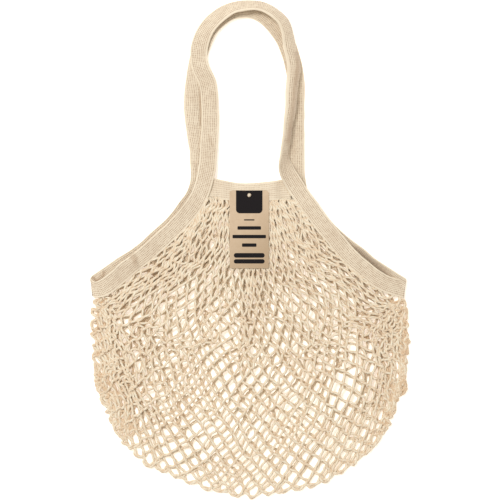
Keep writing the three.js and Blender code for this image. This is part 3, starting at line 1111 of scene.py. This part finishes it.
def tape_section(tape):
    """The tape's closed cross-section, as (across, up, how much of its knit shows)."""
    half = tape.width / MM / 2
    bead = tape.bead / MM / 2
    face = tape.thickness / MM / 2
    edge = [
        (0, 0, 0),
        (0.1, 0.42, 0),
        (0.35, 0.75, 0),
        (0.7, 0.95, 0),
        (1.05, 1.0, 0),
        (1.45, 0.9, 0),
        (1.8, 0.62, 0.3),
    ]
    upper = [(half - inward, bead * up, knit) for inward, up, knit in edge]
    inner = np.linspace(half - 2.3, -(half - 2.3), 17)
    upper += [(across, face, 1) for across in inner]
    upper += [(-across, up, knit) for across, up, knit in reversed(upper[: len(edge)])]
    lower = [(-across, -up, knit) for across, up, knit in upper[1:-1]]
    return np.array(upper + lower)


def knitted_strip(name, section, frame_at, along, size, tape, seed, wrinkles=(), creases_and_shade=()):
    """A knitted strip whose cross-section follows frame_at(v), as a mesh."""
    shades = []
    around = len(section)
    ring = np.vstack([section[:, :2], section[:1, :2]])
    girth = np.concatenate([[0], np.cumsum(np.linalg.norm(np.diff(ring, axis=0), axis=1))]) * MM

    def place(u, v):
        middle, outward, face, arch = frame_at(v)
        across, up, _ = section[np.round(u * around).astype(int) % around].T
        half = tape.width / MM / 2
        run = v * size / MM
        lengthwise = np.column_stack([run, 0 * run])
        up = up + arch[:, 0] * (1 - (across / half) ** 2)
        up = up + drifting(np.column_stack([run, across]), 34, seed) * 0.45
        across = across * (1 + drifting(lengthwise, 26, seed + 1) * 0.018)
        middle = middle + outward * drifting(lengthwise, 60, seed + 2)[:, None] * 0.4
        points = middle + outward * across[:, None] + face * up[:, None]
        for x, y, slant, rise in wrinkles:
            from_x, from_y = points[:, 0] - x, points[:, 1] - y
            past = from_x * math.cos(slant) + from_y * math.sin(slant)
            aside = from_y * math.cos(slant) - from_x * math.sin(slant)
            slope = np.exp(-np.maximum(-past, 0) / 9) * np.clip(1 - past / 2.2, 0, 1)
            points[:, 2] += rise * slope * np.exp(-(aside / 9) ** 2) * (points[:, 2] > 3)
        # Each crease sinks the tape by its depth and paints shade along it, as dark as it says.
        shade = np.zeros(len(points))
        for line, reach, depth, dark, first, last in creases_and_shade:
            nearest, _ = past_line(points[:, :2], np.array(line, float))
            near = np.exp(-(nearest / reach) ** 2) * (v >= first) * (v <= last)
            points[:, 2] -= near * depth
            shade = np.maximum(shade, near * dark)
        shades.extend(shade)
        points[:, 2] = np.maximum(points[:, 2], 0.05)
        return points

    grid = bent_grid(around, along, place, (girth, [0, size]))
    knit = grid.verts.layers.float.new("face")
    crease_shade = grid.verts.layers.float.new("crease_shade")
    for index, vert in enumerate(grid.verts):
        vert[knit] = section[index % (around + 1) % around, 2]
        vert[crease_shade] = shades[index]
    return close_and_convert(grid, name)


class BAG_OT_tape(bpy.types.Operator):
    """The knitted tape: one ring that edges the mouth and forms both handles"""

    bl_idname = "bag.tape"
    bl_label = "Tape and handles"

    def execute(self, context):
        tape = context.scene.bag_tape
        steps = 1200
        stations, girth = even_tape(steps)
        turn = np.interp(len(FRONT_TAPE) + 1, stations, np.linspace(0, 1, steps + 1))
        creases_and_shade = [(*crease_shade[:4], *((0, turn) if crease_shade[4] else (turn, 1))) for crease_shade in CREASES_AND_SHADE]

        def frame_at(v):
            where = np.interp(v, np.linspace(0, 1, steps + 1), stations)
            return tape_frame(where % len(TAPE_MIDDLES))

        section = tape_section(tape)
        mesh = knitted_strip(
            "tape_ring", section, frame_at, steps, girth * MM, tape, 3, WRINKLES, creases_and_shade
        )
        finish_piece("tape_ring", mesh, context.scene.bag_knit, "tape")
        return {"FINISHED"}


# Wrinkles across the front tape, as (x, y, the way that they fall away, how high they are)
WRINKLES = [
    (-144.5, -14.5, 0.35, 5.0),
]

# Creases and painted shade of the tape, as (line, how far they reach, how deep, how dark, on the
# bag's front)
CREASES_AND_SHADE = [
    # the dent on the left shoulder, with painted shade in it
    ([(-149.5, -7), (-146.5, -12.5), (-145, -17.5)], 3.4, 2.0, 0.55, True),
    # the pocket at the mouth's left corner, with painted shade round its rim
    ([(-199.5, -35.5), (-194, -40.5), (-187, -38), (-185.2, -29)], 1.5, 0.8, 0.85, False),
    # painted shade inside the mouth's right corner
    ([(120, 9), (150, -13), (172, -31)], 6, 0, 0.5, False),
    # painted shade on the hollow outer flank of the front handle's right side
    (
        [(59.5, 249), (61, 232), (56, 201), (54.3, 179), (51.5, 158), (48.5, 137)],
        3.3, 0, 0.6, True,
    ),
    # painted shade where the back handle's left side dips under the front one
    ([(-63.4, 212), (-62.8, 158)], 1.1, 0, 0.7, False),
    # a small crease above the front handle's left foot, with painted shade in it
    ([(-52.5, 145), (-49, 138), (-46.5, 131)], 2.2, 1.0, 0.3, True),
]

# The bands: where they end, their upper edge at the left, middle and right, the height of
# their underside at the ends and in the middle, and how long their ends stay level
BANDS = {
    "front_band": dict(left=-56, right=52, top=(93.5, 83.5, 91), end=5.5, middle=8.6, flat=11),
    "back_band": dict(left=-60, right=58, top=(91, 84.5, 92), end=2.7, middle=0, flat=12),
}


class BAG_OT_bands(bpy.types.Operator):
    """The short knitted bands between the feet of each handle"""

    bl_idname = "bag.bands"
    bl_label = "Bands"

    def execute(self, context):
        tape = context.scene.bag_tape
        section = tape_section(tape) * (1, 1, 0.5)
        for name, band in BANDS.items():
            width = (band["right"] - band["left"]) * MM
            mesh = knitted_strip(name, section, self.frame_maker(band), 60, width, tape, 9)
            finish_piece(f"{name}_knit", mesh, context.scene.bag_knit, name)
        return {"FINISHED"}

    @staticmethod
    def frame_maker(band):
        left, right, flat = band["left"], band["right"], band["flat"]
        top_left, top_middle, top_right = band["top"]

        def frame_at(v):
            x = left + (right - left) * v
            pull = 2 * top_middle - (top_left + top_right) / 2
            top = (1 - v) ** 2 * top_left + 2 * v * (1 - v) * pull + v**2 * top_right
            from_end = np.minimum(x - left, right - x)
            rise = np.clip((from_end - flat) / flat, 0, 1)
            rise = rise * rise * (3 - 2 * rise)
            height = band["end"] + (band["middle"] - band["end"]) * rise + BAND_MIDDLE
            middle = np.column_stack([x, (top + BAND_BOTTOM) / 2, height])
            width = (top - BAND_BOTTOM) / TAPE_WIDTH
            outward = np.column_stack([0 * x, width, 0 * x])
            face = np.column_stack([0 * x, 0 * x, 0 * x + 1])
            return middle, outward, face, np.zeros((len(x), 1))

        return frame_at


# ---- tag -----------------------------------------------------------------------------


TAG_CORNERS = ((True, 0.0038), (False, 0.0026))  # whether at the top, and radius in metres
CURL_STEPS = 12
CURL = 0.0022


class BAG_OT_tag(bpy.types.Operator):
    """The card tag, with its hole, rounded corners and plain print"""

    bl_idname = "bag.tag"
    bl_label = "Card tag"

    def execute(self, context):
        tag = context.scene.bag_tag
        low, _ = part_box("tag")
        centre = to_row((*TAG_CENTRE, 0))
        card = bmesh.new()
        bmesh.ops.create_grid(card, x_segments=1, y_segments=1, size=0.5)
        bmesh.ops.scale(card, verts=card.verts, vec=(tag.width, tag.height, 1))
        for upper, radius in TAG_CORNERS:
            corners = [
                vert
                for vert in card.verts
                if abs(vert.co.y) > tag.height * 0.49 and (vert.co.y > 0) == upper
            ]
            bmesh.ops.bevel(
                card, geom=corners, offset=radius, offset_type="OFFSET", segments=6,
                profile=0.5, affect="VERTICES", material=-1,
            )
        for step in range(1, CURL_STEPS):
            line = (step / CURL_STEPS - 0.5) * tag.height
            bmesh.ops.bisect_plane(
                card, geom=card.verts[:] + card.edges[:] + card.faces[:],
                plane_co=(0, line, 0), plane_no=(0, 1, 0),
            )
        raised = bmesh.ops.extrude_face_region(card, geom=card.faces[:])
        tops = [item for item in raised["geom"] if isinstance(item, bmesh.types.BMVert)]
        bmesh.ops.translate(card, verts=tops, vec=(0, 0, tag.thickness))
        bmesh.ops.recalc_face_normals(card, faces=card.faces)
        bmesh.ops.translate(card, verts=card.verts, vec=(centre[0], centre[1], low.z))
        mesh = as_mesh(card, "card_tag")
        piece = finish_piece("card_tag", mesh, card_material(tag), "tag")
        self.punch(piece, centre, tag, low.z)
        middle = low.z + tag.thickness / 2
        upper = [float(vert.co.z > middle) for vert in piece.data.vertices]
        piece.data.attributes.new("upper", "FLOAT", "POINT").data.foreach_set("value", upper)
        self.curl(piece.data, centre, tag)
        piece.data.polygons.foreach_set("use_smooth", np.zeros(len(piece.data.polygons), bool))
        return {"FINISHED"}

    @staticmethod
    def punch(piece, centre, tag, floor):
        """Cuts the round hole through the card."""
        punch = bmesh.new()
        radius = TAG_HOLE_RADIUS * MM
        bmesh.ops.create_cone(
            punch, cap_ends=True, segments=40, radius1=radius, radius2=radius, depth=0.01
        )
        up = centre[1] + tag.height / 2 - TAG_HOLE_DROP * MM
        bmesh.ops.translate(punch, verts=punch.verts, vec=(centre[0], up, floor))
        cutter = bpy.data.objects.new("punch", as_mesh(punch, "punch"))
        bpy.context.scene.collection.objects.link(cutter)
        cut = piece.modifiers.new("hole", "BOOLEAN")
        cut.operation = "DIFFERENCE"
        cut.object = cutter
        apply_modifiers(piece)
        bpy.data.objects.remove(cutter)

    @staticmethod
    def curl(mesh, centre, tag):
        """Lifts the card's lower end a little, as card that has hung does."""
        for vert in mesh.vertices:
            down = max((centre[1] - vert.co.y) / tag.height + 0.1, 0)
            vert.co.z += CURL * down * down


def apply_modifiers(piece):
    """Turns the piece's mesh into the mesh that its modifiers make."""
    graph = bpy.context.evaluated_depsgraph_get()
    made = bpy.data.meshes.new_from_object(piece.evaluated_get(graph))
    piece.modifiers.clear()
    piece.data = made


class BAG_OT_knot(bpy.types.Operator):
    """The knot of the string that ties the tag on, in the tag's hole"""

    bl_idname = "bag.knot"
    bl_label = "Tag knot"

    def execute(self, context):
        low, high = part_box("tag_knot")
        middle = (low + high) / 2
        ball = bmesh.new()
        radius = KNOT_RADIUS * MM
        bmesh.ops.create_uvsphere(ball, u_segments=32, v_segments=20, radius=radius)
        for vert in ball.verts:
            turn = math.atan2(vert.co.y, vert.co.x)
            grooves = 0.06 * math.cos(3 * turn + vert.co.z * 1800)
            vert.co *= 1 + grooves * (1 - abs(vert.co.z) / radius)
            vert.co.z = vert.co.z * 0.75 + 0.0001
        bmesh.ops.translate(ball, verts=ball.verts, vec=(middle.x, middle.y, low.z + 0.0013))
        mesh = as_mesh(ball, "string_knot")
        material = knot_material(context.scene.bag_net)
        finish_piece("string_knot", mesh, material, "tag_knot")
        return {"FINISHED"}


def knot_material(net):
    """Cotton of the knot, with fine twisted strands and painted shade between them."""
    shader = Shader("knot_cotton")
    place = shader.coordinates("Object")
    x, y, _ = shader.parts(place)
    strands = shader.wave(shader.math("ADD", x, y), 0.0011)
    fibres = shader.noise(place, 2600, 4)
    # painted shade in the grooves between the twisted strands
    tone = shader.mix(shader.span(strands, 0.5, 0.0, 0.0, 0.5), plain(net.yarn), plain(net.patch_and_shade))
    shader.bump(shader.math("MULTIPLY_ADD", fibres, 0.4, strands), 0.0003, 0.8)
    return shader.finish(tone, 0.9, 0.2)


# ---- stage ---------------------------------------------------------------------------


FLOOR_HALF = 6  # metres from the middle of the floor to its edge
KEY_PLACE = (-1.1, 1.2, 3.0)
KEY_SIZE = 0.9
WARM_GLOW = (1, 0.88, 0.75, 1)
WARM_SKY = (1, 0.95, 0.89, 1)


class BAG_OT_stage(bpy.types.Operator):
    """Pale floor, soft light from the upper left and the camera above"""

    bl_idname = "bag.stage"
    bl_label = "Floor, light and camera"

    def execute(self, context):
        stage = context.scene.bag_stage
        scene = context.scene
        lens = bpy.data.cameras.new("camera")
        lens.sensor_width = 36
        lens.lens = lens.sensor_width * stage.view_height / stage.view_width
        camera = bpy.data.objects.new("camera", lens)
        camera.location = (0.0008, 0.0002, stage.view_height)
        scene.collection.objects.link(camera)
        scene.camera = camera

        floor = bmesh.new()
        bmesh.ops.create_grid(floor, x_segments=1, y_segments=1, size=FLOOR_HALF)
        mesh = as_mesh(floor, "floor")
        paper = Shader("paper")
        mesh.materials.append(paper.finish((*plain(stage.floor), 1), 0.9))
        paper.surface.inputs["Emission Color"].default_value = WARM_GLOW
        paper.surface.inputs["Emission Strength"].default_value = stage.glow
        ground = bpy.data.objects.new("floor", mesh)
        scene.collection.objects.link(ground)
        ground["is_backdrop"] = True

        self.add_light(scene, "key", KEY_PLACE, KEY_SIZE, stage.key_power)
        world = bpy.data.worlds.new("sky")
        world.use_nodes = True
        sky = world.node_tree.nodes["Background"]
        sky.inputs["Color"].default_value = WARM_SKY
        sky.inputs["Strength"].default_value = stage.sky
        scene.world = world
        scene.view_settings.view_transform = "Standard"
        return {"FINISHED"}

    @staticmethod
    def add_light(scene, name, place, size, power):
        lamp = bpy.data.lights.new(name, "AREA")
        lamp.shape = "DISK"
        lamp.size = size
        lamp.energy = power
        light = bpy.data.objects.new(name, lamp)
        light.location = place
        light.rotation_euler = (-Vector(place)).to_track_quat("-Z", "Y").to_euler()
        scene.collection.objects.link(light)


# ---- panel and registration ----------------------------------------------------------

OPERATORS = [BAG_OT_stage, BAG_OT_net, BAG_OT_tape, BAG_OT_bands, BAG_OT_tag, BAG_OT_knot]


class BAG_PT_panel(bpy.types.Panel):
    """The bag's pieces in the sidebar"""

    bl_label = "Net bag"
    bl_space_type = "VIEW_3D"
    bl_region_type = "UI"
    bl_category = "Net bag"

    def draw(self, context):
        for operator in OPERATORS:
            self.layout.operator(operator.bl_idname)
        for name, group in GROUPS.items():
            box = self.layout.box()
            for key in group.__annotations__:
                box.prop(getattr(context.scene, name), key)


def register():
    for group in GROUPS.values():
        bpy.utils.register_class(group)
    for name, group in GROUPS.items():
        setattr(bpy.types.Scene, name, PointerProperty(type=group))
    bpy.types.Scene.bag_knit = PointerProperty(type=bpy.types.Material)
    for operator in OPERATORS:
        bpy.utils.register_class(operator)
    bpy.utils.register_class(BAG_PT_panel)


def unregister():
    bpy.utils.unregister_class(BAG_PT_panel)
    for operator in reversed(OPERATORS):
        bpy.utils.unregister_class(operator)
    del bpy.types.Scene.bag_knit
    for name in GROUPS:
        delattr(bpy.types.Scene, name)
    for group in reversed(GROUPS.values()):
        bpy.utils.unregister_class(group)


def write_size():
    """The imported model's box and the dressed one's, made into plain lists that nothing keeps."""
    boxes = {"cad": cad_box, "visual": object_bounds()}
    plain_boxes = {name: [list(corner) for corner in box] for name, box in boxes.items()}


def main():
    register()
    bpy.context.scene.bag_knit = knit_material(bpy.context.scene.bag_tape)
    for operator in OPERATORS:
        group, name = operator.bl_idname.split(".")
        getattr(getattr(bpy.ops, group), name)()
    write_size()


if __name__ == "__main__":
    main()
